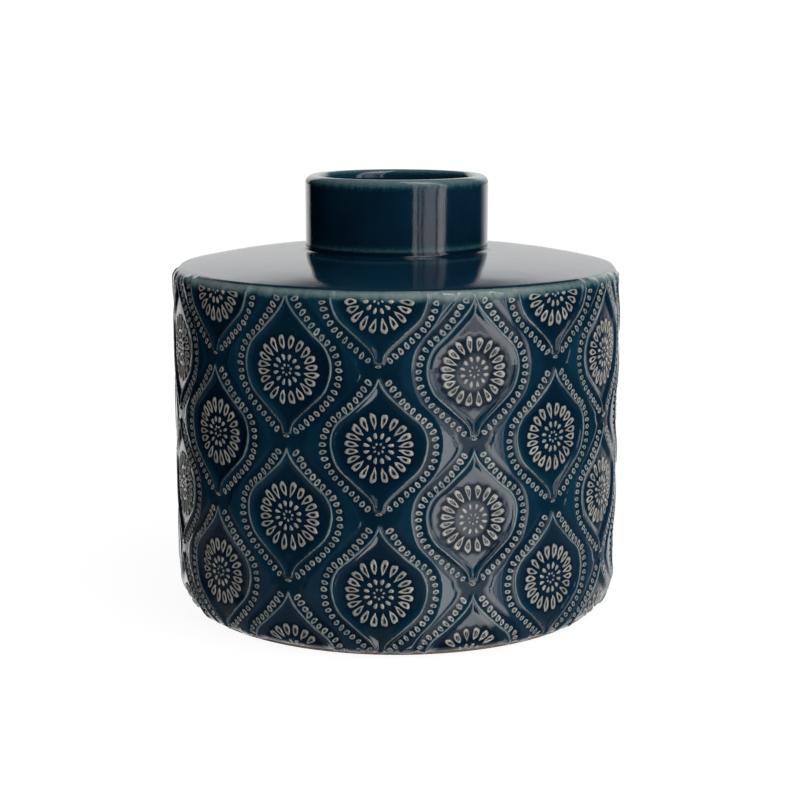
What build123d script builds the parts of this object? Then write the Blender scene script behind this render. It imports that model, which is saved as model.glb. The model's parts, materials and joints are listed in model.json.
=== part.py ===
from build123d import *

import os
from math import cos, radians, sin

# Squat round flower vase with a short collar neck and a raised ogee-and-rosette pattern.
#
# Millimetres, +Z up. The origin is the centre of the plane that the foot stands on, and
# the vase is turned about Z. Its front looks along -Y. Each node is one formed piece or
# one layer of the fired pot: four clay pieces that were joined before firing, the two
# glaze coats, and the ornament that stands on the wall.

# The pot, measured over the glaze.
BODY_R = 95.0  # the straight wall
TOTAL_H = 184.0
SHOULDER_Z = 146.5  # top of the rounded edge between wall and shoulder
NECK_Z = 152.5  # where the domed shoulder meets the neck
NECK_R = 39.0
MOUTH_R = 32.0  # bore through the neck
FOOT_R = 88.0
FOOT_BARE = 1.0  # height of foot left bare under the outer glaze
CORNER_Z = 17.6  # below this height the wall curves in towards the foot
EDGE_R = 4.9  # rounding between wall and shoulder
DOME_RISE = 1.3  # how far the shoulder bulges above a straight cone
LIP_H = 3.5  # height of the rounded lip

# Thicknesses.
GLAZE = 0.5
WALL = 8.0  # both glaze coats included
FLOOR_Z = 10.0  # inside floor
FLOOR_FILLET = 9.0
SHOULDER_FILLET = 6.0  # inside corner under the shoulder
BORE_FILLET = 3.0  # inner end of the bore

# Where the clay pieces were joined.
FOOT_RING_H = 2.8
FOOT_RING_W = 9.0
POT_TOP_Z = 137.0

# The ornament: ogees in half-dropped columns, each with a rosette inside and beads outside.
COLUMNS = 16
FRONT_COLUMN_DEG = -94.2  # column 0 is near the front, a little to the left
ROW_PITCH = 29.1  # from one row of ogees to the row of the next column
TOP_ROW_Z = 143.5  # centre of the row that the shoulder cuts
ROWS = 6  # with the cut rows at the shoulder and at the foot
PATTERN_TOP = SHOULDER_Z - EDGE_R
PATTERN_BOTTOM = 4.5
RELIEF = 0.6  # how far the ornament stands off the glaze

# Right half of an ogee, (across, up) from its rosette's centre, top tip to bottom tip.
OGEE_TOP = (0.0, 27.4)
OGEE_SIDE = [(4.2, 20.4), (10.6, 14.2), (16.6, 8.8), (18.8, 1.6), (16.4, -7.2), (9.8, -13.9), (4.2, -18.9)]
OGEE_BOTTOM = (0.0, -25.0)
RIB_W = 0.9

# Rosette: rings of petals and of seeds, as (lobes, inner radius, outer radius, lobe radius).
PETALS = (20, 7.4, 13.8, 1.7)
SEEDS = (12, 3.7, 6.2, 1.1)
EYE_R = 1.8

# The bead row along each side of an ogee.
BEAD_GAP = 1.9  # from the ogee's line
BEAD_W = 2.6
BEAD_CLEAR = 2.2  # left free each side of the ogee's tips


def outside(inset):
    """Curves of the outside from foot to lip crest, as (radius, height), set into the wall."""
    crest_r = (NECK_R + MOUTH_R) / 2
    lip_z = TOTAL_H - LIP_H
    dome_start = Vector(BODY_R - EDGE_R, SHOULDER_Z - inset)
    dome_end = Vector(NECK_R - inset, NECK_Z - inset)
    dome_top = (dome_start + dome_end) / 2 + Vector(0, DOME_RISE)
    corner_size = (BODY_R - FOOT_R - inset, CORNER_Z - FOOT_BARE - inset)
    lip_size = (NECK_R - inset - crest_r, LIP_H - inset)
    return [
        EllipticalCenterArc((FOOT_R, CORNER_Z), *corner_size, start_angle=270, arc_size=90),
        Line((BODY_R - inset, CORNER_Z), (BODY_R - inset, SHOULDER_Z - EDGE_R)),
        CenterArc((BODY_R - EDGE_R, SHOULDER_Z - EDGE_R), EDGE_R - inset, 0, 90),
        ThreePointArc(dome_start, dome_top, dome_end),
        Line(dome_end, (NECK_R - inset, lip_z)),
        EllipticalCenterArc((crest_r, lip_z), *lip_size, start_angle=0, arc_size=90),
    ]


def inside(inset):
    """Curves of the inside from lip crest to the middle of the floor, set into the wall."""
    crest_r = (NECK_R + MOUTH_R) / 2
    lip_z = TOTAL_H - LIP_H
    bore_r = MOUTH_R + inset
    wall_r = BODY_R - WALL + inset
    bends = (BORE_FILLET - inset, SHOULDER_FILLET + inset, FLOOR_FILLET + inset)
    lip_size = (crest_r - bore_r, LIP_H - inset)
    path = FilletPolyline(
        (bore_r, lip_z),
        (bore_r, NECK_Z - WALL + inset),
        (wall_r, SHOULDER_Z - WALL + inset),
        (wall_r, FLOOR_Z - inset),
        (0, FLOOR_Z - inset),
        radius=bends,
    )
    return [
        EllipticalCenterArc((crest_r, lip_z), *lip_size, start_angle=90, arc_size=90),
        path,
    ]


def turned(curves, corners):
    """Turn about Z the outline made of some curves and the straight lines through corners."""
    edges = [edge for curve in curves for edge in curve.edges()]
    edges += Polyline(*corners).edges()
    return revolve(Plane.XZ * make_face(edges), Axis.Z)


def clay_pot():
    """All of the clay, with the foot ring and the recess inside it."""
    foot_in = FOOT_R - FOOT_RING_W
    corners = [
        (0, FLOOR_Z - GLAZE),
        (0, FOOT_RING_H),
        (foot_in, FOOT_RING_H),
        (foot_in, 0),
        (FOOT_R, 0),
        (FOOT_R, FOOT_BARE + GLAZE),
    ]
    return turned(outside(GLAZE) + inside(GLAZE), corners)


def slice_of(solid, low, high):
    """The part of a solid between two heights."""
    above = split(solid, bisect_by=Plane.XY.offset(low), keep=Keep.TOP)
    return split(above, bisect_by=Plane.XY.offset(high), keep=Keep.BOTTOM)


def coat(skin, curves_start, curves_end):
    """A glaze coat: the space between a skin and the same skin set in by the glaze."""
    edges = [edge for inset in (0, GLAZE) for curve in skin(inset) for edge in curve.edges()]
    edges += Line(curves_start(0), curves_start(GLAZE)).edges()
    edges += Line(curves_end(0), curves_end(GLAZE)).edges()
    return revolve(Plane.XZ * make_face(edges), Axis.Z)


def foot_line(inset):
    """Where the outer glaze stops above the foot."""
    return (FOOT_R, FOOT_BARE + inset)


def crest_point(inset):
    """The top of the lip."""
    return ((NECK_R + MOUTH_R) / 2, TOTAL_H - inset)


def floor_middle(inset):
    """The middle of the inside floor."""
    return (0, FLOOR_Z - inset)


def relief_shell():
    """The space that the ornament fills: a skin of the relief's height round the wall."""
    inner = outside(0)[:2]
    outer = outside(-RELIEF)[:2]
    edges = [edge for curve in inner + outer for edge in curve.edges()]
    edges += Line(inner[0] @ 0, outer[0] @ 0).edges()
    edges += Line(inner[1] @ 1, outer[1] @ 1).edges()
    shell = revolve(Plane.XZ * make_face(edges), Axis.Z)
    return slice_of(shell, PATTERN_BOTTOM, PATTERN_TOP)


def ogee_face(size):
    """A whole ogee, flat, centred on its rosette, with every point moved out by a factor."""
    top, bottom = Vector(OGEE_TOP) * size, Vector(OGEE_BOTTOM) * size
    right = [Vector(point) * size for point in OGEE_SIDE]
    left = [Vector(-point.X, point.Y) for point in right]
    return make_face([Spline(top, *right, bottom), Spline(top, *left, bottom)])


def band(gap, width):
    """The flat band round an ogee, a gap outside its line at its widest point."""
    widest = max(across for across, up in OGEE_SIDE)
    return ogee_face(1 + (gap + width) / widest) - ogee_face(1 + gap / widest)


def bead_strips():
    """The two strips of beads beside an ogee, which stop short of its tips."""
    return band(BEAD_GAP, BEAD_W) - Rectangle(2 * BEAD_CLEAR, 3 * ROW_PITCH)


def lobed_ring(ring):
    """A flat ring with a scalloped outer edge."""
    lobes, inner_r, outer_r, lobe_r = ring
    middle_r = outer_r - lobe_r
    disc = Circle(middle_r)
    for number in range(lobes):
        disc += Rot(0, 0, 360 * (number + 0.5) / lobes) * Pos(middle_r) * Circle(lobe_r)
    return disc - Circle(inner_r)


def raised(face, row_z, shell):
    """A flat shape at column 0, made into solids that stand on the wall."""
    angle = radians(FRONT_COLUMN_DEG)
    facing = Plane(
        (0, 0, row_z),
        x_dir=(-sin(angle), cos(angle), 0),
        z_dir=(cos(angle), sin(angle), 0),
    )
    prism = extrude(facing * face, BODY_R + 2 * RELIEF)
    return (prism & shell).solids()


def around(face):
    """A flat shape raised in every ogee of the pattern, as one group of solids."""
    shell = relief_shell()
    solids = []
    for row in range(ROWS):
        pieces = raised(face, TOP_ROW_Z - row * ROW_PITCH, shell)
        for column in range(row % 2, COLUMNS, 2):
            turn = Rot(0, 0, 360 * column / COLUMNS)
            solids += [turn * piece for piece in pieces]
    return Compound(children=solids)


def write(name, shape):
    """One STEP file for each node."""
    export_step(shape, f"parts/{name}.step")


os.makedirs("parts", exist_ok=True)
clay = clay_pot()
joint_z = NECK_Z - GLAZE
write("foot_ring", slice_of(clay, -1, FOOT_RING_H))
write("pot_body", slice_of(clay, FOOT_RING_H, POT_TOP_Z))
write("shoulder_plate", slice_of(clay, POT_TOP_Z, joint_z))
write("neck_collar", slice_of(clay, joint_z, TOTAL_H))
write("outer_glaze", coat(outside, foot_line, crest_point))
write("liner_glaze", coat(inside, crest_point, floor_middle))

write("ogee_ribs", around(band(-RIB_W, RIB_W)))
write("bead_rows", around(bead_strips()))
write("petal_rings", around(lobed_ring(PETALS)))
write("seed_rings", around(lobed_ring(SEEDS)))
write("rosette_eyes", around(Circle(EYE_R)))
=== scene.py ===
import json
import math

import bpy
import numpy as np
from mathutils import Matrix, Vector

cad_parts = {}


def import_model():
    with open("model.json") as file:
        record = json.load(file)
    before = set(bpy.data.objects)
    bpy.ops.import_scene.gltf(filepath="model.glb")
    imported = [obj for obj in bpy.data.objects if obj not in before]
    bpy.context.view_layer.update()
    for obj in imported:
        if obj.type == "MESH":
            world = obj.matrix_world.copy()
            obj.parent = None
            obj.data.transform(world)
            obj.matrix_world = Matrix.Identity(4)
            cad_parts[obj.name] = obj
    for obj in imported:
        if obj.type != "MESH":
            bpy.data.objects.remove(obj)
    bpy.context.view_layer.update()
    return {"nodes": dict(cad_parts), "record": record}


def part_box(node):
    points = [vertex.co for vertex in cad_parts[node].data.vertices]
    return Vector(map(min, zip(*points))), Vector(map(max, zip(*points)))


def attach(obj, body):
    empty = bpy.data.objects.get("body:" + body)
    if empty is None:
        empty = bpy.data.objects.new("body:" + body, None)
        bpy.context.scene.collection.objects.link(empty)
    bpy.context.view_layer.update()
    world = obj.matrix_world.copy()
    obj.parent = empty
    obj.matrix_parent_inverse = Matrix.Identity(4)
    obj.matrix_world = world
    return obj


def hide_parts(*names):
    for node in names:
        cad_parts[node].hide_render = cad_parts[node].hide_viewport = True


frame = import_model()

# Navy glazed flower vase: the coats of glaze and the pattern pressed in the wall are meshes
# made here over the clay of the frame. Lengths are in millimetres until `MM` turns them into
# Blender's metres.
MM = 0.001
RANDOM = np.random.default_rng(7)


# ---------------------------------------------------------------- sizes from the frame

def corners(node):
    """Lowest and highest corner of a CAD node, in millimetres."""
    low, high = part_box(node)
    return low / MM, high / MM


COAT_LOW, COAT_HIGH = corners("outer_glaze")
NECK_LOW, NECK_HIGH = corners("neck_collar")
LINER_LOW, LINER_HIGH = corners("liner_glaze")
MOUNTS = {mount["name"]: mount for mount in frame["record"]["mounts"]}

BODY_R = round(COAT_HIGH.x, 1)
TOTAL_H = COAT_HIGH.z
FOOT_LINE_Z = COAT_LOW.z
GLAZE = TOTAL_H - NECK_HIGH.z
NECK_R = round(NECK_HIGH.x + GLAZE, 1)
NECK_Z = NECK_LOW.z + GLAZE
MOUTH_R = MOUNTS["mouth_bore"]["dims"]["r_mm"]
INNER_R = round(LINER_HIGH.x - GLAZE, 1)
FLOOR_Z = LINER_LOW.z + GLAZE

# Roundings that the boxes don't tell.
FOOT_R = 88.0
CORNER_Z = 17.6
SHOULDER_Z = 146.5
EDGE_R = 4.9
DOME_RISE = 1.3
LIP_H = 3.5
THROAT_R = 1.4
FLOOR_FILLET = 9.0
UNDER_SHOULDER_Z = 138.5
UNDER_NECK_Z = 144.5

# The pattern: half-dropped columns of ogees.
COLUMNS = 16
FRONT = math.radians(-94.2)
COLUMN_PITCH = 2 * math.pi * BODY_R / COLUMNS
ROW_PITCH = 29.1
TOP_ROW = 143.5
ROWS = 6
OGEE = [
    (0.0, 27.2), (0.8, 25.0), (2.2, 22.6), (4.5, 19.9), (10.6, 14.2), (16.6, 8.8), (18.8, 1.6),
    (16.4, -7.2), (9.8, -13.9), (4.4, -18.9), (2.1, -22.0), (1.5, -24.6), (0.0, -25.0),
]
BEAD_PATH = [
    (3.9, 25.6), (9.5, 18.1), (14.2, 13.5), (19.2, 9.3), (21.8, 3.0), (21.4, -4.6), (17.1, -11.9),
    (9.0, -19.6), (4.2, -23.8),
]
TALL_ROW = 1  # the ogees under the shoulder, whose tips are drawn up to it
TALLER = 2.2
OGEE_WIDE = 18.8
PATTERN_TOP = 143.6
PATTERN_LOW = -0.9
LEVEL = 0.55  # how far the plain parts of the wall stand off the CAD's smooth coat
BACK = 0.95  # how far behind the smooth coat the hidden back of the visual one lies

# Heights and depths of the pressed relief.
RIB_RISE = 0.10
CHANNEL_DEPTH = 0.45  # where the beads lie
RIDGE_RISE = 0.07  # outside the channel
PLAIN_RISE = 0.06
DISH_DEPTH = 0.82  # inside an ogee
POOL_DEPTH = 0.12  # round a rosette's petals
BOSS_RISE = 0.14  # under its seeds

# Rings of raised drops in each rosette.
PETAL_RING = dict(
    count=20, radius=10.85, spread=0.08, half_length=3.15, half_width=1.5, height=1.0, squash=0.2,
)
SEED_RING = dict(
    count=12, radius=5.0, spread=0.0, half_length=1.35, half_width=0.85, height=0.9, squash=0.1,
)
DOT_RING = dict(
    count=7, radius=1.9, spread=0.0, half_length=0.62, half_width=0.5, height=0.8, squash=0.0,
)
BEADS = 23  # down each side of an ogee
RIB_POINTS = 90  # down each side of an ogee's rib


# ---------------------------------------------------------------- lines and skins

def arc(centre, radii, start, end, count):
    """Points of an elliptical arc between two angles in degrees."""
    angle = np.radians(np.linspace(start, end, count))
    return np.stack([centre[0] + radii[0] * np.cos(angle), centre[1] + radii[1] * np.sin(angle)], 1)


def straight(start, end, count):
    """Evenly spaced points of a straight line."""
    return np.linspace(start, end, count)


def smooth_line(points, count):
    """A Catmull-Rom curve through some points, evenly sampled."""
    points = np.array(points, float)
    padded = np.vstack([2 * points[0] - points[1], points, 2 * points[-1] - points[-2]])
    pieces = []
    for i in range(1, len(padded) - 2):
        p0, p1, p2, p3 = padded[i - 1:i + 3]
        t = np.linspace(0, 1, 24, endpoint=False)[:, None]
        pieces.append(0.5 * (2 * p1 + (p2 - p0) * t + (2 * p0 - 5 * p1 + 4 * p2 - p3) * t ** 2
                             + (3 * p1 - p0 - 3 * p2 + p3) * t ** 3))
    line = np.vstack(pieces + [points[-1:]])
    length = along(line)
    steps = np.linspace(0, length[-1], count)
    return np.stack([np.interp(steps, length, line[:, k]) for k in (0, 1)], 1)


def along(line):
    """Distance along a line at each of its points."""
    return np.concatenate([[0], np.cumsum(np.linalg.norm(np.diff(line, axis=0), axis=1))])


def smoothstep(low, high, value):
    """0 below low, 1 above high, smooth between."""
    t = np.clip((value - low) / (high - low), 0, 1)
    return t * t * (3 - 2 * t)


class Skin:
    """A turned surface: a line of (radius, height), measured along itself.

    Its measure equals the height on the wall, and goes on round the corners.
    """

    def __init__(self, line, zero):
        keep = np.concatenate([[True], np.linalg.norm(np.diff(line, axis=0), axis=1) > 1e-6])
        self.line = line[keep]
        self.u = along(self.line) + zero
        rise = np.gradient(self.line, axis=0)
        rise /= np.linalg.norm(rise, axis=1)[:, None]
        self.normal = np.stack([rise[:, 1], -rise[:, 0]], 1)

    def at(self, u):
        """Radius, height and outward normal at measures u."""
        values = (self.line[:, 0], self.line[:, 1], self.normal[:, 0], self.normal[:, 1])
        return [np.interp(u, self.u, value) for value in values]

    def space(self, angle, u, lift):
        """Points in metres at an angle about Z, at measure u, lifted off the skin."""
        radius, height, out, up = self.at(u)
        radius = radius + out * lift
        height = height + up * lift
        flat = [radius * np.cos(angle), radius * np.sin(angle), height + 0 * angle]
        return np.stack(np.broadcast_arrays(*flat), -1) * MM


def outside_line():
    """Foot line, rounded corner, wall, rounded edge, domed shoulder, neck and lip crest."""
    crest_r = (NECK_R + MOUTH_R) / 2
    edge_centre = (BODY_R - EDGE_R, SHOULDER_Z - EDGE_R)
    corner = arc((FOOT_R, CORNER_Z), (BODY_R - FOOT_R, CORNER_Z - FOOT_LINE_Z), -90, 0, 400)
    wall = straight((BODY_R, CORNER_Z), (BODY_R, edge_centre[1]), 400)
    edge = arc(edge_centre, (EDGE_R, EDGE_R), 0, 78, 200)
    t = np.linspace(0, 1, 200)[:, None]
    dome = edge[-1] + (np.array([NECK_R + THROAT_R, NECK_Z]) - edge[-1]) * t
    dome[:, 1:] += 4 * DOME_RISE * t * (1 - t)
    throat = arc((NECK_R + THROAT_R, NECK_Z + THROAT_R), (THROAT_R, THROAT_R), 270, 180, 40)
    neck = straight((NECK_R, NECK_Z + THROAT_R), (NECK_R, TOTAL_H - LIP_H), 100)
    lip = arc((crest_r, TOTAL_H - LIP_H), (NECK_R - crest_r, LIP_H), 0, 90, 80)
    return np.vstack([corner, wall, edge, dome, throat, neck, lip]), along(corner)[-1]


def inside_line():
    """Lip crest, bore, underside of the shoulder, wall and floor to its middle."""
    crest_r = (NECK_R + MOUTH_R) / 2
    lip = arc((crest_r, TOTAL_H - LIP_H), (crest_r - MOUTH_R, LIP_H), 90, 180, 80)
    bore = straight((MOUTH_R, TOTAL_H - LIP_H), (MOUTH_R, UNDER_NECK_Z + 3), 60)
    bend = arc((MOUTH_R + 3, UNDER_NECK_Z + 3), (3, 3), 180, 270, 30)
    under = straight((MOUTH_R + 3, UNDER_NECK_Z), (INNER_R - 6, UNDER_SHOULDER_Z + 0.6), 60)
    hollow = arc((INNER_R - 6, UNDER_SHOULDER_Z - 5.4), (6, 6), 90, 0, 40)
    fillet_centre = (INNER_R - FLOOR_FILLET, FLOOR_Z + FLOOR_FILLET)
    wall = straight((INNER_R, UNDER_SHOULDER_Z - 5.4), (INNER_R, fillet_centre[1]), 80)
    fillet = arc(fillet_centre, (FLOOR_FILLET, FLOOR_FILLET), 0, -90, 40)
    floor = straight((fillet_centre[0], FLOOR_Z), (0.5, FLOOR_Z), 60)
    return np.vstack([lip, bore, bend, under, hollow, wall, fillet, floor])


OUTSIDE_LINE, CORNER_LENGTH = outside_line()
OUTSIDE = Skin(OUTSIDE_LINE, CORNER_Z - CORNER_LENGTH)
INSIDE = Skin(inside_line(), 0)
EDGE_U = SHOULDER_Z - EDGE_R
EDGE_MIDDLE = EDGE_U + EDGE_R * math.radians(40)
CREST_U = OUTSIDE.u[-1]
THROAT_U = CREST_U - LIP_H - (TOTAL_H - LIP_H - NECK_Z)


# ---------------------------------------------------------------- relief of the wall

OGEE_SIDE = smooth_line(OGEE, 120)


def ogee_distance(x, y):
    """Signed distance to an ogee's line, more inside it, and how near its tips that is."""
    right = np.abs(x)
    gap = np.hypot(right[:, None] - OGEE_SIDE[:, 0], y[:, None] - OGEE_SIDE[:, 1])
    nearest = gap.argmin(1)
    distance = gap[np.arange(len(x)), nearest]
    half = np.interp(y, OGEE_SIDE[::-1, 1], OGEE_SIDE[::-1, 0], left=-1, right=-1)
    tip = 1 - OGEE_SIDE[nearest, 0] / OGEE_WIDE
    return np.where(right < half, distance, -distance), tip


def drawn_up(row, y):
    """Height above an ogee's centre after the tall row's tips are drawn up."""
    return y + TALLER * smoothstep(3, 27, y) if row == TALL_ROW else y


def ogee_centres():
    """Row and centre of each ogee near the first two columns, as (row, across, up)."""
    return [
        (row, column * COLUMN_PITCH, TOP_ROW - row * ROW_PITCH)
        for row in range(-1, ROWS + 1)
        for column in range(-2, 5)
        if (row - column) % 2 == 0
    ]


def relief_height(x, y):
    """Height of the pressed wall at flat arrays of pattern places, and how hollow it is there, which later
    dims the glaze's reflection as painted shade.
    """
    inside = np.full(len(x), -99.0)
    tip = np.zeros(len(x))
    from_centre = np.full(len(x), 99.0)
    around = np.zeros(len(x))
    scale = np.linspace(-50, 50, 400)
    for row, centre_x, centre_y in ogee_centres():
        near = np.flatnonzero(np.hypot(x - centre_x, y - centre_y) < 44)
        across, up = x[near] - centre_x, y[near] - centre_y
        distance, tipness = ogee_distance(across, np.interp(up, drawn_up(row, scale), scale))
        better = distance > inside[near]
        inside[near[better]] = distance[better]
        tip[near[better]] = tipness[better]
        radius = np.hypot(across, up)
        closer = radius < from_centre[near]
        from_centre[near[closer]] = radius[closer]
        around[near[closer]] = np.arctan2(across, up)[closer]
    outside = -inside
    far = 5.0 + 2.0 * tip
    channel = smoothstep(0.4, 1.4, outside) * (1 - smoothstep(far - 0.5, far + 0.5, outside))
    ridge = np.exp(-((outside - far - 0.8) / 0.45) ** 2)
    dish = 0.5 * smoothstep(0.2, 2.2, inside) + 0.5 * smoothstep(1.0, 3.0, inside)
    scallop = 14.5 + 0.35 * np.cos(20 * around + math.pi)
    pool_and_shade = 1 - smoothstep(-0.5, 0.5, from_centre - scallop)
    boss = 1 - smoothstep(6.6, 8.0, from_centre)
    rib = np.exp(-(inside / 0.8) ** 2)
    plain = smoothstep(far + 0.4, far + 4.0, outside)
    height = RIB_RISE * rib - CHANNEL_DEPTH * channel + RIDGE_RISE * ridge + PLAIN_RISE * plain
    height = LEVEL + height - DISH_DEPTH * dish - POOL_DEPTH * pool_and_shade * dish + BOSS_RISE * boss
    beside = 1 - smoothstep(4.6, 5.6, outside)
    return height, np.maximum(0.8 * channel * beside, (0.85 - 0.45 * boss) * pool_and_shade)


TILE_COLUMNS = 104
WALL_STEP = 0.8
FIRST_U = OUTSIDE.u[0]
TILE_U = np.linspace(FIRST_U, EDGE_MIDDLE + 5.5, int((EDGE_MIDDLE + 5.5 - FIRST_U) / WALL_STEP))


def relief_tiles():
    """The relief's height and hollows over two columns, which repeat round the wall."""
    x = np.arange(TILE_COLUMNS) * 2 * COLUMN_PITCH / TILE_COLUMNS
    grid_x, grid_u = np.meshgrid(x, TILE_U)
    height, hollow = relief_height(grid_x.ravel(), grid_u.ravel())
    fade = 1 - smoothstep(EDGE_MIDDLE - 1.0, EDGE_MIDDLE + 2.5, TILE_U)
    fade *= smoothstep(FIRST_U + 0.3, FIRST_U + 3.0, TILE_U)
    fade = fade[:, None]
    return height.reshape(grid_x.shape) * fade, hollow.reshape(grid_x.shape) * fade


TILE, HOLLOWS = relief_tiles()


def relief_at(x, u):
    """The relief's height at any pattern places, read off the tile."""
    column = (x / (2 * COLUMN_PITCH) % 1) * TILE_COLUMNS
    row = np.clip((u - TILE_U[0]) / (TILE_U[1] - TILE_U[0]), 0, len(TILE_U) - 1.001)
    c0, r0 = column.astype(int) % TILE_COLUMNS, row.astype(int)
    c1 = (c0 + 1) % TILE_COLUMNS
    fc, fr = column % 1, row % 1
    low = TILE[r0, c0] * (1 - fc) + TILE[r0, c1] * fc
    high = TILE[r0 + 1, c0] * (1 - fc) + TILE[r0 + 1, c1] * fc
    return low * (1 - fr) + high * fr


def waves(seed, low, high, count):
    """A wavy function of the angle about Z, between about -1 and 1."""
    random = np.random.default_rng(seed)
    orders = random.integers(low, high, count)
    phases = random.uniform(0, 2 * math.pi, count)
    scale = (2 / count) ** 0.5

    def value(angle):
        total = sum(np.cos(order * angle + phase) for order, phase in zip(orders, phases))
        return total * scale
    return value


STREAKS = waves(3, 30, 190, 24)
SWELLS = waves(5, 2, 9, 6)


def wobble(angle, u):
    """The slight unevenness of a hand-finished pot and its glaze, in millimetres."""
    slow = 0.03 * np.sin(3 * angle + u / 31) + 0.03 * np.sin(5 * angle - u / 17 + 1.3)
    quick = 0.012 * np.sin(23 * angle + u / 4.1) * np.sin(u / 5.3 - 9 * angle)
    return slow + quick


# ---------------------------------------------------------------- mesh helpers

def add_piece(name, points, faces, material, attributes=()):
    """A smooth-shaded mesh that rides on the vase."""
    mesh = bpy.data.meshes.new(name)
    mesh.from_pydata(points.reshape(-1, 3).tolist(), [], faces)
    mesh.validate()
    mesh.shade_smooth()
    for label, values in attributes:
        attribute = mesh.attributes.new(label, "FLOAT", "POINT")
        attribute.data.foreach_set("value", np.ascontiguousarray(values, np.float32).ravel())
    mesh.materials.append(material)
    piece = bpy.data.objects.new(name, mesh)
    bpy.context.scene.collection.objects.link(piece)
    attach(piece, "root")
    return piece


def loop_faces(rows, columns, closed):
    """Quads between rows of points that each go round; closed joins the last row to the first."""
    row = np.arange(rows if closed else rows - 1)[:, None]
    column = np.arange(columns)[None, :]
    after = (row + 1) % rows
    right = (column + 1) % columns
    quads = np.stack([
        row * columns + column, row * columns + right,
        after * columns + right, after * columns + column,
    ], -1)
    return quads.reshape(-1, 4).tolist()


def strip_faces(rows, columns, closed):
    """Quads of a tube whose rows go round its section; closed joins its two ends."""
    quads = np.array(loop_faces(rows, columns, closed=True)).reshape(rows, columns, 4)
    if not closed:
        quads = quads[:, :-1]
    return quads.reshape(-1, 4).tolist()


# ---------------------------------------------------------------- glaze coats

def coat_rows():
    """Measures of the outside coat's rows, close on the wall and at the roundings."""
    dome = np.arange(TILE_U[-1] + 1.2, THROAT_U - 1.5, 1.8)
    throat = np.linspace(THROAT_U - 1.5, THROAT_U + 2.4, 10)
    neck = np.arange(THROAT_U + 3.6, CREST_U - 6.6, 1.4)
    lip = np.linspace(CREST_U - 5.8, CREST_U, 14)
    return np.concatenate([TILE_U, dome, throat, neck, lip])


def thin_glaze(angle, u):
    """How thin the glaze has run, 0 to 1: on the shoulder's edge, the lip and above the throat."""
    streak = STREAKS(angle).clip(-1.5, 1.5)
    swell = SWELLS(angle)
    below = smoothstep(0.6, 5.4 + 0.7 * streak + 0.5 * swell, EDGE_MIDDLE + 0.6 - u)
    above = smoothstep(0.5, 1.6, u - EDGE_MIDDLE - 0.6)
    edge = (1 - below) * (1 - above) * (0.88 + 0.08 * swell + 0.03 * streak)
    tail = 0.22 * np.exp(-np.maximum(EDGE_MIDDLE - u, 0) / 5.0) * (u < EDGE_MIDDLE)
    lip = 0.76 * (1 - smoothstep(1.4, 8.4 + 0.4 * streak, CREST_U - u))
    rise = u - THROAT_U - 0.5
    throat = 0.42 * np.exp(-(rise / np.where(rise > 0, 2.2, 0.7)) ** 2)
    return np.clip(np.maximum(edge, tail) + lip + throat, 0, 1)


def outside_coat(material):
    """The outer glaze: one closed skin from the foot line over wall, shoulder and neck."""
    columns = 8 * TILE_COLUMNS
    angle = FRONT + np.arange(columns) * 2 * math.pi / columns
    u = coat_rows()
    relief = np.zeros((len(u), columns))
    relief[:len(TILE_U)] = np.tile(TILE, (1, 8))
    hollow = np.zeros((len(u), columns))
    hollow[:len(TILE_U)] = np.tile(HOLLOWS, (1, 8))
    lift = relief + wobble(angle[None, :], u[:, None])
    lift[-1] = 0
    outer = OUTSIDE.space(angle[None, :], u[:, None], lift)
    inner_u = u[::-1][::8]
    back = np.full((len(inner_u), columns), -BACK)
    inner = OUTSIDE.space(angle[None, :], inner_u[:, None], back)
    inner[0] = OUTSIDE.space(angle, np.full(columns, CREST_U), np.full(columns, -GLAZE))
    inner[-1] = OUTSIDE.space(angle, np.full(columns, FIRST_U), np.full(columns, -GLAZE))
    points = np.concatenate([outer, inner])
    thin = thin_glaze(angle[None, :], u[:, None])
    zeros = np.zeros((len(inner_u), columns))
    # Pooled glaze and painted shade: darker where the relief sinks into hollows and glaze pools, plus a
    # painted shade band round the throat under the neck.
    pool_and_shade = LEVEL - relief + 1.3 * np.exp(-((u[:, None] - THROAT_U + 0.8) / 1.2) ** 2)
    attributes = (
        ("pool_and_shade", np.concatenate([pool_and_shade, zeros])),
        ("hollow", np.concatenate([hollow, zeros])),
        ("thin", np.concatenate([thin, zeros])),
    )
    faces = loop_faces(len(points), columns, closed=True)
    piece = add_piece("outside_glaze", points, faces, material, attributes)
    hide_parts("outer_glaze")


def liner_coat(material):
    """The inside glaze, from the lip's crest to the floor."""
    columns = 256
    angle = np.arange(columns) * 2 * math.pi / columns
    last = INSIDE.u[-1]
    u = np.concatenate([
        np.linspace(0, 8, 14), np.linspace(9.5, 36, 16), np.linspace(37, 44, 8),
        np.linspace(46, last - 1, 90), [last],
    ])
    wave = 0.02 * np.sin(4 * angle)[None, :] + 0 * u[:, None]
    wave[0] = 0
    face = INSIDE.space(angle[None, :], u[:, None], wave)
    back = INSIDE.space(angle[None, :], u[::-1, None], np.full((len(u), columns), -GLAZE))
    points = np.concatenate([back, face])
    count = len(points) * columns
    faces = loop_faces(len(points), columns, closed=False)
    middle = [[0, 0, (FLOOR_Z - GLAZE) * MM], [0, 0, FLOOR_Z * MM]]
    around = np.arange(columns)
    after = (around + 1) % columns
    faces += np.stack([after, around, np.full(columns, count)], 1).tolist()
    top = (len(points) - 1) * columns
    faces += np.stack([top + around, top + after, np.full(columns, count + 1)], 1).tolist()
    thin = 0.76 * np.exp(-(u / 3.6) ** 2)[:, None] * np.ones(columns)
    values = np.concatenate([0 * thin[::-1], thin]).ravel()
    points = np.concatenate([points.reshape(-1, 3), middle])
    none = np.zeros(count + 2)
    attributes = (("pool_and_shade", none), ("hollow", none), ("thin", np.append(values, [0, 0])))
    piece = add_piece("inside_glaze", points, faces, material, attributes)
    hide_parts("liner_glaze")


# ---------------------------------------------------------------- ornament

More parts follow.
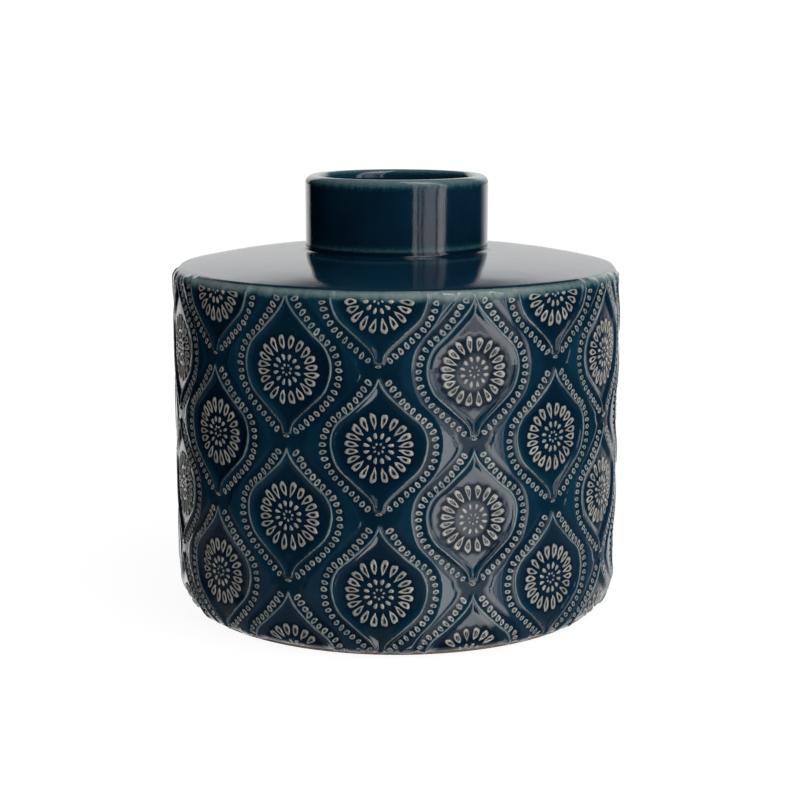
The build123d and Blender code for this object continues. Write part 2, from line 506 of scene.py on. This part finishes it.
def teardrop(count, taper):
    """A unit egg outline along X, wide end towards +X, and its points' angles."""
    angle = np.arange(count) * 2 * math.pi / count
    cosine = np.sign(np.cos(angle)) * np.abs(np.cos(angle)) ** 0.9
    return cosine, np.sin(angle) * (1 - taper + taper * np.cos(angle)) / (1 - 0.62 * taper), angle


def raised_drops(places, levels, outline_count, taper, sink):
    """Closed raised drops on the wall.

    places holds one row a drop: across, up, heading, half length, half width, height.
    levels holds, from the foot of the drop to its middle, (size, height, crest).
    """
    shape_x, shape_y, angle = teardrop(outline_count, taper)
    count = len(places)
    phase = RANDOM.uniform(0, 2 * math.pi, (count, 3))
    ripple = 1 + 0.08 * np.sin(2 * angle + phase[:, :1]) + 0.06 * np.sin(3 * angle + phase[:, 1:2])
    ripple += 0.045 * np.sin(5 * angle + phase[:, 2:])
    sizes = [level[0] for level in levels]
    heights = [level[1] for level in levels]
    crests = [level[2] for level in levels]
    x = np.stack([shape_x * size * ripple for size in sizes], 1)
    y = np.stack([shape_y * size * ripple for size in sizes], 1)
    middle = np.zeros((count, 1))
    x = np.concatenate([x.reshape(count, -1), middle, middle], 1) * places[:, 3:4]
    y = np.concatenate([y.reshape(count, -1), middle, middle], 1) * places[:, 4:5]
    lift = np.repeat(heights, outline_count)
    lift = np.concatenate([lift, [heights[-1]], [sink]])[None, :] * places[:, 5:6]
    crest = np.concatenate([np.repeat(crests, outline_count), [crests[-1]], [0]])
    cosine, sine = np.cos(places[:, 2:3]), np.sin(places[:, 2:3])
    across = places[:, 0:1] + x * cosine - y * sine
    up = places[:, 1:2] + x * sine + y * cosine
    base = relief_at(across, up) + wobble(FRONT + across / BODY_R, up)
    points = OUTSIDE.space(FRONT + across / BODY_R, up, base + lift)
    tone = np.repeat(RANDOM.uniform(0, 1, (count, 1)), points.shape[1], 1)
    return points, np.repeat(crest[None, :], count, 0), tone, drop_faces(count, len(levels), outline_count)


def drop_faces(count, levels, outline_count):
    """Faces of drops that each have some rings, a top middle and a bottom middle."""
    rings = np.array(loop_faces(levels, outline_count, closed=False))
    around = np.arange(outline_count)
    after = (around + 1) % outline_count
    top, bottom = levels * outline_count, levels * outline_count + 1
    last = (levels - 1) * outline_count
    caps = [[last + a, last + b, top] for a, b in zip(around, after)]
    caps += [[b, a, bottom] for a, b in zip(around, after)]
    size = bottom + 1
    faces = []
    for number in range(count):
        faces += (rings + number * size).tolist()
        faces += [[corner + number * size for corner in cap] for cap in caps]
    return faces


def all_ogees():
    """Row and centre of each ogee round the whole wall, as (row, across, up)."""
    return [
        (row, column * COLUMN_PITCH, TOP_ROW - row * ROW_PITCH)
        for row in range(ROWS)
        for column in range(row % 2, COLUMNS, 2)
    ]


def ring_places(count, radius, spread, half_length, half_width, height, squash):
    """Places of one ring of drops in every rosette; squash makes the drops at its sides shorter."""
    places = []
    for row, centre_x, centre_y in all_ogees():
        for number in range(count):
            turn = 2 * math.pi * (number + 0.5) / count
            turn += spread * math.sin(2 * turn)
            heading = math.pi / 2 - turn
            side = squash * math.sin(turn) ** 2
            up = centre_y + (radius - side) * math.sin(heading)
            if not PATTERN_LOW + half_length < up < PATTERN_TOP - 0.6:
                continue
            places.append((
                centre_x + (radius - side) * math.cos(heading),
                up,
                heading + RANDOM.normal(0, 0.05),
                (half_length - side) * RANDOM.uniform(0.94, 1.06),
                (half_width - side * 0.5) * RANDOM.uniform(0.92, 1.08),
                height * RANDOM.uniform(0.9, 1.1),
            ))
    return np.array(places)


def bead_places():
    """Places of the beads beside every ogee, down both sides to the one under its tip."""
    path = smooth_line(BEAD_PATH, 400)
    length = along(path)
    heading = np.gradient(path, axis=0)
    heading /= np.linalg.norm(heading, axis=1)[:, None]
    places = []
    for row, centre_x, centre_y in all_ogees():
        ends = [(0.0, -26.1, 0.0, 1.5, 0.75, 1.0)]
        for number in range(BEADS):
            where = number / (BEADS - 1) * length[-1]
            x, y, dx, dy = (np.interp(where, length, v) for v in (*path.T, *heading.T))
            big = smoothstep(6, 24, y)
            turn = math.atan2(dx, -dy)
            for side in (1, -1):
                heads = turn if side > 0 else math.pi - turn
                ends.append((side * x, y, heads, 1.55 + 0.2 * big, 1.08 + 0.15 * big, 1.0))
        for x, y, turn, long, wide, height in ends:
            up = centre_y + drawn_up(row, y)
            if PATTERN_LOW + 1 < up < PATTERN_TOP - 0.6:
                places.append((
                    centre_x + x + RANDOM.normal(0, 0.1),
                    up + RANDOM.normal(0, 0.1),
                    turn + RANDOM.normal(0, 0.12),
                    long * RANDOM.uniform(0.88, 1.1),
                    wide * RANDOM.uniform(0.88, 1.1),
                    height * RANDOM.uniform(0.85, 1.15),
                ))
    return np.array(places)


# Levels of a raised drop, from its foot to its middle, as (size, height, crest).
LOOP = [
    (1.0, -0.25, 0.0), (0.97, 0.12, 0.4), (0.84, 0.40, 1.0),
    (0.60, 0.42, 1.0), (0.42, 0.14, 0.2), (0.2, 0.04, 0.0),
]
SEED = [(1.0, -0.25, 0.0), (0.96, 0.14, 0.4), (0.78, 0.36, 1.0), (0.35, 0.45, 1.0)]
BEAD = [(1.0, -0.25, 0.0), (0.95, 0.14, 0.35), (0.76, 0.38, 1.0), (0.56, 0.38, 1.0), (0.34, 0.20, 0.25)]


def drops(name, places, levels, outline_count, taper, material, node):
    """One piece made of many drops, standing for a CAD node."""
    points, crest, tone, faces = raised_drops(places, levels, outline_count, taper, -0.3)
    attributes = (("crest", crest), ("tone", tone))
    piece = add_piece(name, points, faces, material, attributes)
    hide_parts(node)


# Points across a rib, as (sideways, height, crest).
RIB_SECTION = [
    (-0.7, -0.3, 0), (-0.42, 0.08, 0.4), (-0.16, 0.2, 1),
    (0.16, 0.2, 1), (0.42, 0.08, 0.4), (0.7, -0.3, 0),
]


def rib_runs(row, centre_y):
    """The ogee's line above a centre, as runs of points inside the pattern and if each goes round."""
    right = smooth_line(OGEE, RIB_POINTS)
    line = np.vstack([right, right[-2:0:-1] * (-1, 1)])
    line[:, 1] = drawn_up(row, line[:, 1])
    up = centre_y + line[:, 1]
    kept = (up > PATTERN_LOW) & (up < PATTERN_TOP)
    if kept.all():
        return [(line, True)]
    first = int(np.flatnonzero(~kept & np.roll(kept, -1))[0]) + 1
    line, kept = np.roll(line, -first, 0), np.roll(kept, -first)
    breaks = np.flatnonzero(np.diff(kept.astype(int))) + 1
    runs = np.split(np.arange(len(line)), breaks)
    return [(line[run], False) for run in runs if kept[run[0]] and len(run) > 4]


def ogee_ribs(material):
    """The thin raised line of every ogee, ending where it leaves the pattern."""
    points, crests, tones, faces = [], [], [], []
    total = 0
    for row, centre_x, centre_y in all_ogees():
        for line, closed in rib_runs(row, centre_y):
            if closed:
                heading = np.roll(line, -1, 0) - np.roll(line, 1, 0)
            else:
                heading = np.gradient(line, axis=0)
            heading /= np.linalg.norm(heading, axis=1)[:, None]
            out = np.stack([-heading[:, 1], heading[:, 0]], 1)
            phase = RANDOM.uniform(0, 2 * math.pi)
            share = np.arange(len(line)) / (2 * RIB_POINTS - 2) * 2 * math.pi
            swell = 1 + 0.12 * np.sin(9 * share + phase) + 0.1 * np.sin(23 * share + 2 * phase)
            # Painted shade: the rib's pale crest is dimmed on the lower half of each ogee.
            bright = 0.45 + 0.55 * smoothstep(-20, 0, line[:, 1])
            for side, lift, crest in RIB_SECTION:
                across = centre_x + line[:, 0] + out[:, 0] * side * swell
                up = centre_y + line[:, 1] + out[:, 1] * side * swell
                base = relief_at(across, up) + wobble(FRONT + across / BODY_R, up)
                points.append(OUTSIDE.space(FRONT + across / BODY_R, up, base + lift))
                crests.append(crest * bright)
                tones.append(0.5 + 0.35 * np.sin(3 * share + phase) + 0.15 * np.sin(31 * share + phase))
            count = len(line)
            quads = np.array(strip_faces(len(RIB_SECTION), count, closed))
            faces += (quads + total).tolist()
            if not closed:
                start = [total + row_number * count for row_number in range(len(RIB_SECTION))]
                faces.append(start)
                faces.append([corner + count - 1 for corner in reversed(start)])
            total += len(RIB_SECTION) * count
    attributes = (("crest", np.concatenate(crests)), ("tone", np.concatenate(tones)))
    piece = add_piece("ogee_rib_lines", np.concatenate(points), faces, material, attributes)
    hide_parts("ogee_ribs")


# ---------------------------------------------------------------- materials

def node_material(name):
    """A new material, its nodes and its principled shader."""
    material = bpy.data.materials.new(name)
    material.use_nodes = True
    nodes = material.node_tree.nodes
    return material, nodes, material.node_tree.links, nodes["Principled BSDF"]


def attribute(nodes, label):
    """The output of a vertex attribute."""
    node = nodes.new("ShaderNodeAttribute")
    node.attribute_name = label
    return node.outputs["Fac"]


def noise(nodes, links, scale, detail, stretch=(1, 1, 1)):
    """A noise value in object space, in metres."""
    place = nodes.new("ShaderNodeTexCoord")
    mapping = nodes.new("ShaderNodeMapping")
    mapping.inputs["Scale"].default_value = stretch
    links.new(place.outputs["Object"], mapping.inputs["Vector"])
    node = nodes.new("ShaderNodeTexNoise")
    node.inputs["Scale"].default_value = scale
    node.inputs["Detail"].default_value = detail
    links.new(mapping.outputs["Vector"], node.inputs["Vector"])
    return node.outputs["Fac"]


def ramp(nodes, links, value, stops):
    """A colour ramp over a value."""
    node = nodes.new("ShaderNodeValToRGB")
    elements = node.color_ramp.elements
    while len(elements) < len(stops):
        elements.new(0.5)
    for element, (position, colour) in zip(elements, stops):
        element.position = position
        element.color = (*colour, 1)
    links.new(value, node.inputs["Fac"])
    return node.outputs["Color"]


def math_node(nodes, links, operation, first, second):
    """One arithmetic step."""
    node = nodes.new("ShaderNodeMath")
    node.operation = operation
    for socket, value in zip(node.inputs, (first, second)):
        if isinstance(value, (int, float)):
            socket.default_value = value
        else:
            links.new(value, socket)
    return node.outputs["Value"]


def colour_socket(node, name):
    """The colour version of a mix node's socket."""
    return [socket for socket in node.inputs if socket.name == name and socket.type == "RGBA"][0]


def bump(nodes, links, height, distance, strength):
    """A bump from a height value."""
    node = nodes.new("ShaderNodeBump")
    node.inputs["Distance"].default_value = distance
    node.inputs["Strength"].default_value = strength
    links.new(height, node.inputs["Height"])
    return node.outputs["Normal"]


def mix_colours(nodes, links, share, first, second, blend="MIX"):
    """Two colours mixed by a share, either of which may be a plain colour."""
    node = nodes.new("ShaderNodeMix")
    node.data_type = "RGBA"
    node.blend_type = blend
    factor = [s for s in node.inputs if s.name == "Factor" and s.type == "VALUE"][0]
    pairs = ((factor, share), (colour_socket(node, "A"), first), (colour_socket(node, "B"), second))
    for socket, value in pairs:
        if isinstance(value, (int, float)):
            socket.default_value = value
        elif isinstance(value, tuple):
            socket.default_value = (*value, 1)
        else:
            links.new(value, socket)
    return [s for s in node.outputs if s.type == "RGBA"][0]


def glaze_surface(nodes, links, shader, roughness):
    """The glossy, slightly rippled and pinholed surface that all the glaze shares."""
    ripple = noise(nodes, links, 55, 2)
    pits = noise(nodes, links, 1400, 1)
    pits = math_node(nodes, links, "POWER", pits, 6)
    height = math_node(nodes, links, "SUBTRACT", ripple, pits)
    links.new(bump(nodes, links, height, 0.00035, 0.25), shader.inputs["Normal"])
    grain = noise(nodes, links, 260, 3)
    rough = math_node(nodes, links, "MULTIPLY_ADD", grain, 0.04)
    rough.node.inputs[2].default_value = roughness
    links.new(rough, shader.inputs["Roughness"])
    shader.inputs["IOR"].default_value = 1.5


NAVY = (0.0050, 0.033, 0.068)
NAVY_LIGHT = (0.009, 0.060, 0.100)
NAVY_DARK = (0.0020, 0.012, 0.030)


def navy_glaze(nodes, links):
    """The navy colour, cloudy and with soft runs down the pot."""
    clouds = noise(nodes, links, 28, 4)
    colour = ramp(nodes, links, clouds, [(0.32, NAVY_DARK), (0.5, NAVY), (0.72, NAVY_LIGHT)])
    runs = noise(nodes, links, 160, 2, (1, 1, 0.12))
    return mix_colours(nodes, links, math_node(nodes, links, "MULTIPLY", runs, 0.35), colour, NAVY_LIGHT)


def coat_material():
    """Navy glaze that pools dark in the hollows and breaks pale where it runs thin; a painted shade
    darkens the throat under the neck, and another dims its reflection in the hollows.
    """
    material, nodes, links, shader = node_material("navy_glaze")
    colour = navy_glaze(nodes, links)
    # Darker where glaze pools in the hollows, and painted shade round the throat.
    pool_and_shade = math_node(nodes, links, "MULTIPLY", attribute(nodes, "pool_and_shade"), 0.8)
    colour = mix_colours(nodes, links, pool_and_shade, colour, NAVY_DARK)
    speckle = noise(nodes, links, 900, 2)
    thin = math_node(nodes, links, "MULTIPLY_ADD", speckle, 0.3)
    links.new(attribute(nodes, "thin"), thin.node.inputs[2])
    thin = math_node(nodes, links, "SUBTRACT", thin, 0.15)
    pale = ramp(nodes, links, thin, [
        (0.05, (0.001, 0.006, 0.014)),
        (0.3, (0.012, 0.075, 0.105)),
        (0.62, (0.115, 0.20, 0.22)),
        (0.95, (0.29, 0.38, 0.37)),
    ])
    share = math_node(nodes, links, "MULTIPLY", thin, 2.2)
    share.node.use_clamp = True
    colour = mix_colours(nodes, links, share, colour, pale)
    links.new(colour, shader.inputs["Base Color"])
    glaze_surface(nodes, links, shader, 0.02)
    # Painted shade: the glaze's reflection is dimmed in the relief's hollows.
    hollow_shade_specular = math_node(nodes, links, "MULTIPLY_ADD", attribute(nodes, "hollow"), -0.5)
    hollow_shade_specular.node.inputs[2].default_value = 0.5
    links.new(hollow_shade_specular, shader.inputs["Specular IOR Level"])
    return material


def ornament_material(name, pale, dim):
    """Pressed ornament: navy glaze that has run off its crests and shows them pale."""
    material, nodes, links, shader = node_material(name)
    worn = noise(nodes, links, 1100, 2)
    crest = math_node(nodes, links, "MULTIPLY_ADD", worn, 0.7)
    links.new(attribute(nodes, "crest"), crest.node.inputs[2])
    crest = math_node(nodes, links, "SUBTRACT", crest, 0.42)
    tone = mix_colours(nodes, links, attribute(nodes, "tone"), pale, dim)
    edge = tuple(0.25 * channel for channel in dim)
    share = ramp(nodes, links, crest, [(0.25, (0, 0, 0)), (0.7, (1, 1, 1))])
    foot = ramp(nodes, links, crest, [(0.1, (0, 0, 0)), (0.3, (1, 1, 1))])
    base = mix_colours(nodes, links, foot, NAVY_DARK, edge)
    links.new(mix_colours(nodes, links, share, base, tone), shader.inputs["Base Color"])
    glaze_surface(nodes, links, shader, 0.15)
    shader.inputs["Specular IOR Level"].default_value = 0.85
    return material


def clay_material():
    """Bare sandy stoneware."""
    material, nodes, links, shader = node_material("bare_stoneware")
    sand = noise(nodes, links, 900, 5)
    patch = noise(nodes, links, 70, 3)
    colour = ramp(nodes, links, sand, [
        (0.3, (0.30, 0.21, 0.13)),
        (0.6, (0.52, 0.41, 0.29)),
        (0.8, (0.66, 0.56, 0.43)),
    ])
    stain = math_node(nodes, links, "MULTIPLY", patch, 0.4)
    colour = mix_colours(nodes, links, stain, colour, (0.36, 0.25, 0.16))
    links.new(colour, shader.inputs["Base Color"])
    shader.inputs["Roughness"].default_value = 0.85
    links.new(bump(nodes, links, sand, 0.0003, 0.6), shader.inputs["Normal"])
    return material


# ---------------------------------------------------------------- stage

KEY = 1.36  # brightness of the soft key light on the colours
KEY_SIDE = (0.45, 0.35, -0.82)  # where it comes from: right, up and towards the camera
AMBIENT = 0.08

# What the glaze mirrors, round from behind the object: 0.5 is the camera, 0.75 its right.
BACKDROP = [(0.0, 0.95), (0.07, 1.0), (0.098, 0.8), (0.116, 0.0), (0.860, 0.0), (0.92, 1.0), (1.0, 0.95)]
WINDOW = [
    (0.556, 0.0), (0.560, 0.8), (0.571, 0.65), (0.575, 0.02), (0.580, 0.02), (0.583, 0.6), (0.588, 0.6),
    (0.591, 0.02), (0.596, 0.02), (0.600, 0.6), (0.640, 0.6), (0.645, 0.1), (0.650, 0.1), (0.654, 1.0),
    (0.675, 1.0), (0.682, 0.0),
]
# The same window as the low parts of the wall mirror it.
LOW_WINDOW = [(0.546, 0.0), (0.555, 1.05), (0.600, 0.95), (0.635, 0.75), (0.672, 0.0)]


def parts_of(nodes, links, vector):
    """The three components of a vector."""
    split = nodes.new("ShaderNodeSeparateXYZ")
    links.new(vector, split.inputs["Vector"])
    return split.outputs


def grey_ramp(nodes, links, value, stops):
    """A ramp of greys over a value."""
    return ramp(nodes, links, value, [(position, (grey, grey, grey)) for position, grey in stops])


def scaled(nodes, links, colour, factor):
    """A colour multiplied by a number."""
    return mix_colours(nodes, links, 1.0, colour, (factor, factor, factor), "MULTIPLY")


def azimuth(nodes, links, right, ahead):
    """Direction round the object: 0 and 1 behind it, 0.5 at the camera, 0.75 at its right."""
    back = math_node(nodes, links, "MULTIPLY", ahead, -1)
    angle = math_node(nodes, links, "ARCTAN2", right, back)
    share = math_node(nodes, links, "MULTIPLY_ADD", angle, 0.5 / math.pi)
    share.node.inputs[2].default_value = 0.5
    return share


def mirrored_floor(nodes, links, direction, away):
    """What the glaze mirrors of the floor, by the direction in which it looks and how far it sees."""
    right, _, ahead = parts_of(nodes, links, direction)
    turn = azimuth(nodes, links, right, ahead)
    backdrop = scaled(nodes, links, grey_ramp(nodes, links, turn, BACKDROP), 1.2)
    far_window = scaled(nodes, links, grey_ramp(nodes, links, turn, WINDOW), 3.0)
    near_window = scaled(nodes, links, grey_ramp(nodes, links, turn, LOW_WINDOW), 4.2)
    far = grey_ramp(nodes, links, away, [(0.70, 0.0), (0.78, 1.0)])
    window = mix_colours(nodes, links, far, near_window, far_window)
    return mix_colours(nodes, links, 1.0, backdrop, window, "LIGHTEN")


def mirrored_room(nodes, links, direction):
    """What the glaze mirrors of the room: backdrop behind, tall window at the right, else dark."""
    right, up, ahead = parts_of(nodes, links, direction)
    turn = azimuth(nodes, links, right, ahead)
    wide = grey_ramp(nodes, links, turn, [(0.09, 1.0), (0.1, 0.0), (0.862, 0.0), (0.92, 1.0)])
    tall = grey_ramp(nodes, links, up, [
        (0.0, 0.34), (0.12, 0.4), (0.2, 0.5), (0.34, 0.7), (0.5, 0.97), (0.57, 0.92), (0.66, 0.02),
    ])
    backdrop = scaled(nodes, links, mix_colours(nodes, links, 1.0, wide, tall, "MULTIPLY"), 1.44)
    window = grey_ramp(nodes, links, turn, WINDOW)
    bright = grey_ramp(nodes, links, up, [(0.0, 0.3), (0.75, 0.35), (0.87, 1.0)])
    window = scaled(nodes, links, mix_colours(nodes, links, 1.0, window, bright, "MULTIPLY"), 8.0)
    return mix_colours(nodes, links, 1.0, backdrop, window, "LIGHTEN")


def floor():
    """A plain white floor, which is darker where the glaze mirrors it."""
    material, nodes, links, shader = node_material("floor_white")
    shader.inputs["Base Color"].default_value = (0.15, 0.15, 0.15, 1)
    shader.inputs["Roughness"].default_value = 0.9
    shader.inputs["Emission Color"].default_value = (1, 1, 1, 1)
    shader.inputs["Emission Strength"].default_value = 0.93
    geometry = nodes.new("ShaderNodeNewGeometry")
    turn = nodes.new("ShaderNodeVectorTransform")
    turn.convert_from, turn.convert_to = "WORLD", "CAMERA"
    links.new(geometry.outputs["Incoming"], turn.inputs[0])
    travel = nodes.new("ShaderNodeVectorMath")
    travel.operation = "SCALE"
    travel.inputs["Scale"].default_value = -1
    links.new(turn.outputs[0], travel.inputs[0])
    length = nodes.new("ShaderNodeVectorMath")
    length.operation = "LENGTH"
    links.new(geometry.outputs["Position"], length.inputs[0])
    near = grey_ramp(nodes, links, length.outputs["Value"], [(0.14, 0.14), (0.30, 0.0)])
    studio = mirrored_floor(nodes, links, travel.outputs[0], length.outputs["Value"])
    mirrored = mix_colours(nodes, links, 1.0, studio, near, "LIGHTEN")
    path = nodes.new("ShaderNodeLightPath")
    glow = nodes.new("ShaderNodeEmission")
    soft = mix_colours(nodes, links, path.outputs["Is Diffuse Ray"], mirrored, (0.1, 0.1, 0.1))
    links.new(soft, glow.inputs["Color"])
    chosen = nodes.new("ShaderNodeMixShader")
    links.new(path.outputs["Is Camera Ray"], chosen.inputs["Fac"])
    links.new(glow.outputs["Emission"], chosen.inputs[1])
    links.new(shader.outputs["BSDF"], chosen.inputs[2])
    links.new(chosen.outputs["Shader"], nodes["Material Output"].inputs["Surface"])
    size = 6.0
    mesh = bpy.data.meshes.new("floor")
    corner_points = [(-size, -size, 0), (size, -size, 0), (size, size, 0), (-size, size, 0)]
    mesh.from_pydata(corner_points, [], [(0, 1, 2, 3)])
    mesh.materials.append(material)
    plane = bpy.data.objects.new("floor", mesh)
    bpy.context.scene.collection.objects.link(plane)


def soft_light(nodes, links, direction):
    """The even light that falls on the colours: a wide key light and a little from all round."""
    dot = nodes.new("ShaderNodeVectorMath")
    dot.operation = "DOT_PRODUCT"
    links.new(direction, dot.inputs[0])
    dot.inputs[1].default_value = KEY_SIDE
    key = grey_ramp(nodes, links, dot.outputs["Value"], [(0.7, 0.0), (1.0, 1.0)])
    ambient = (AMBIENT, AMBIENT, AMBIENT)
    return mix_colours(nodes, links, 1.0, scaled(nodes, links, key, KEY), ambient, "ADD")


def world():
    """Soft white studio that turns with the camera, so that every view is lit alike."""
    scene_world = bpy.data.worlds.new("studio")
    scene_world.use_nodes = True
    bpy.context.scene.world = scene_world
    nodes, links = scene_world.node_tree.nodes, scene_world.node_tree.links
    place = nodes.new("ShaderNodeTexCoord")
    direction = place.outputs["Camera"]
    path = nodes.new("ShaderNodeLightPath")
    room = mirrored_room(nodes, links, direction)
    soft = soft_light(nodes, links, direction)
    light = mix_colours(nodes, links, path.outputs["Is Diffuse Ray"], room, soft)
    seen = mix_colours(nodes, links, path.outputs["Is Camera Ray"], light, (1.05, 1.05, 1.05))
    links.new(seen, nodes["Background"].inputs["Color"])


def camera():
    """The picture's view: a long lens a little above the shoulder, looking slightly down."""
    away = 8.03 * BODY_R * MM
    height = 2.455 * BODY_R * MM
    pitch = 0.1938
    data = bpy.data.cameras.new("camera")
    data.lens = 80.15
    data.shift_x = 0.0042
    data.shift_y = 0.0074
    eye = bpy.data.objects.new("camera", data)
    eye.location = (0, -away, height)
    eye.rotation_euler = (math.pi / 2 - pitch, 0, 0)
    bpy.context.scene.collection.objects.link(eye)
    bpy.context.scene.camera = eye


# ---------------------------------------------------------------- the vase

def build():
    """Every piece and material of the vase."""
    glaze = coat_material()
    outside_coat(glaze)
    liner_coat(glaze)
    petal = ornament_material("petal_cream", (0.68, 0.66, 0.60), (0.45, 0.46, 0.43))
    bead = ornament_material("bead_grey", (0.58, 0.60, 0.56), (0.30, 0.36, 0.37))
    rib = ornament_material("rib_blue", (0.30, 0.38, 0.39), (0.13, 0.20, 0.23))
    petals = ring_places(**PETAL_RING)
    seeds = ring_places(**SEED_RING)
    dots = ring_places(**DOT_RING)
    drops("rosette_petals", petals, LOOP, 20, 0.34, petal, "petal_rings")
    drops("rosette_seeds", seeds, SEED, 16, 0.25, petal, "seed_rings")
    drops("rosette_dots", dots, SEED, 10, 0.0, bead, "rosette_eyes")
    drops("bead_lines", bead_places(), BEAD, 12, 0.15, bead, "bead_rows")
    ogee_ribs(rib)
    clay = clay_material()
    for node in ("foot_ring", "pot_body", "shoulder_plate", "neck_collar"):
        slots = frame["nodes"][node].data.materials
        for index in range(len(slots)):
            slots[index] = clay


build()
floor()
world()
camera()
bpy.context.scene.view_settings.view_transform = "Standard"
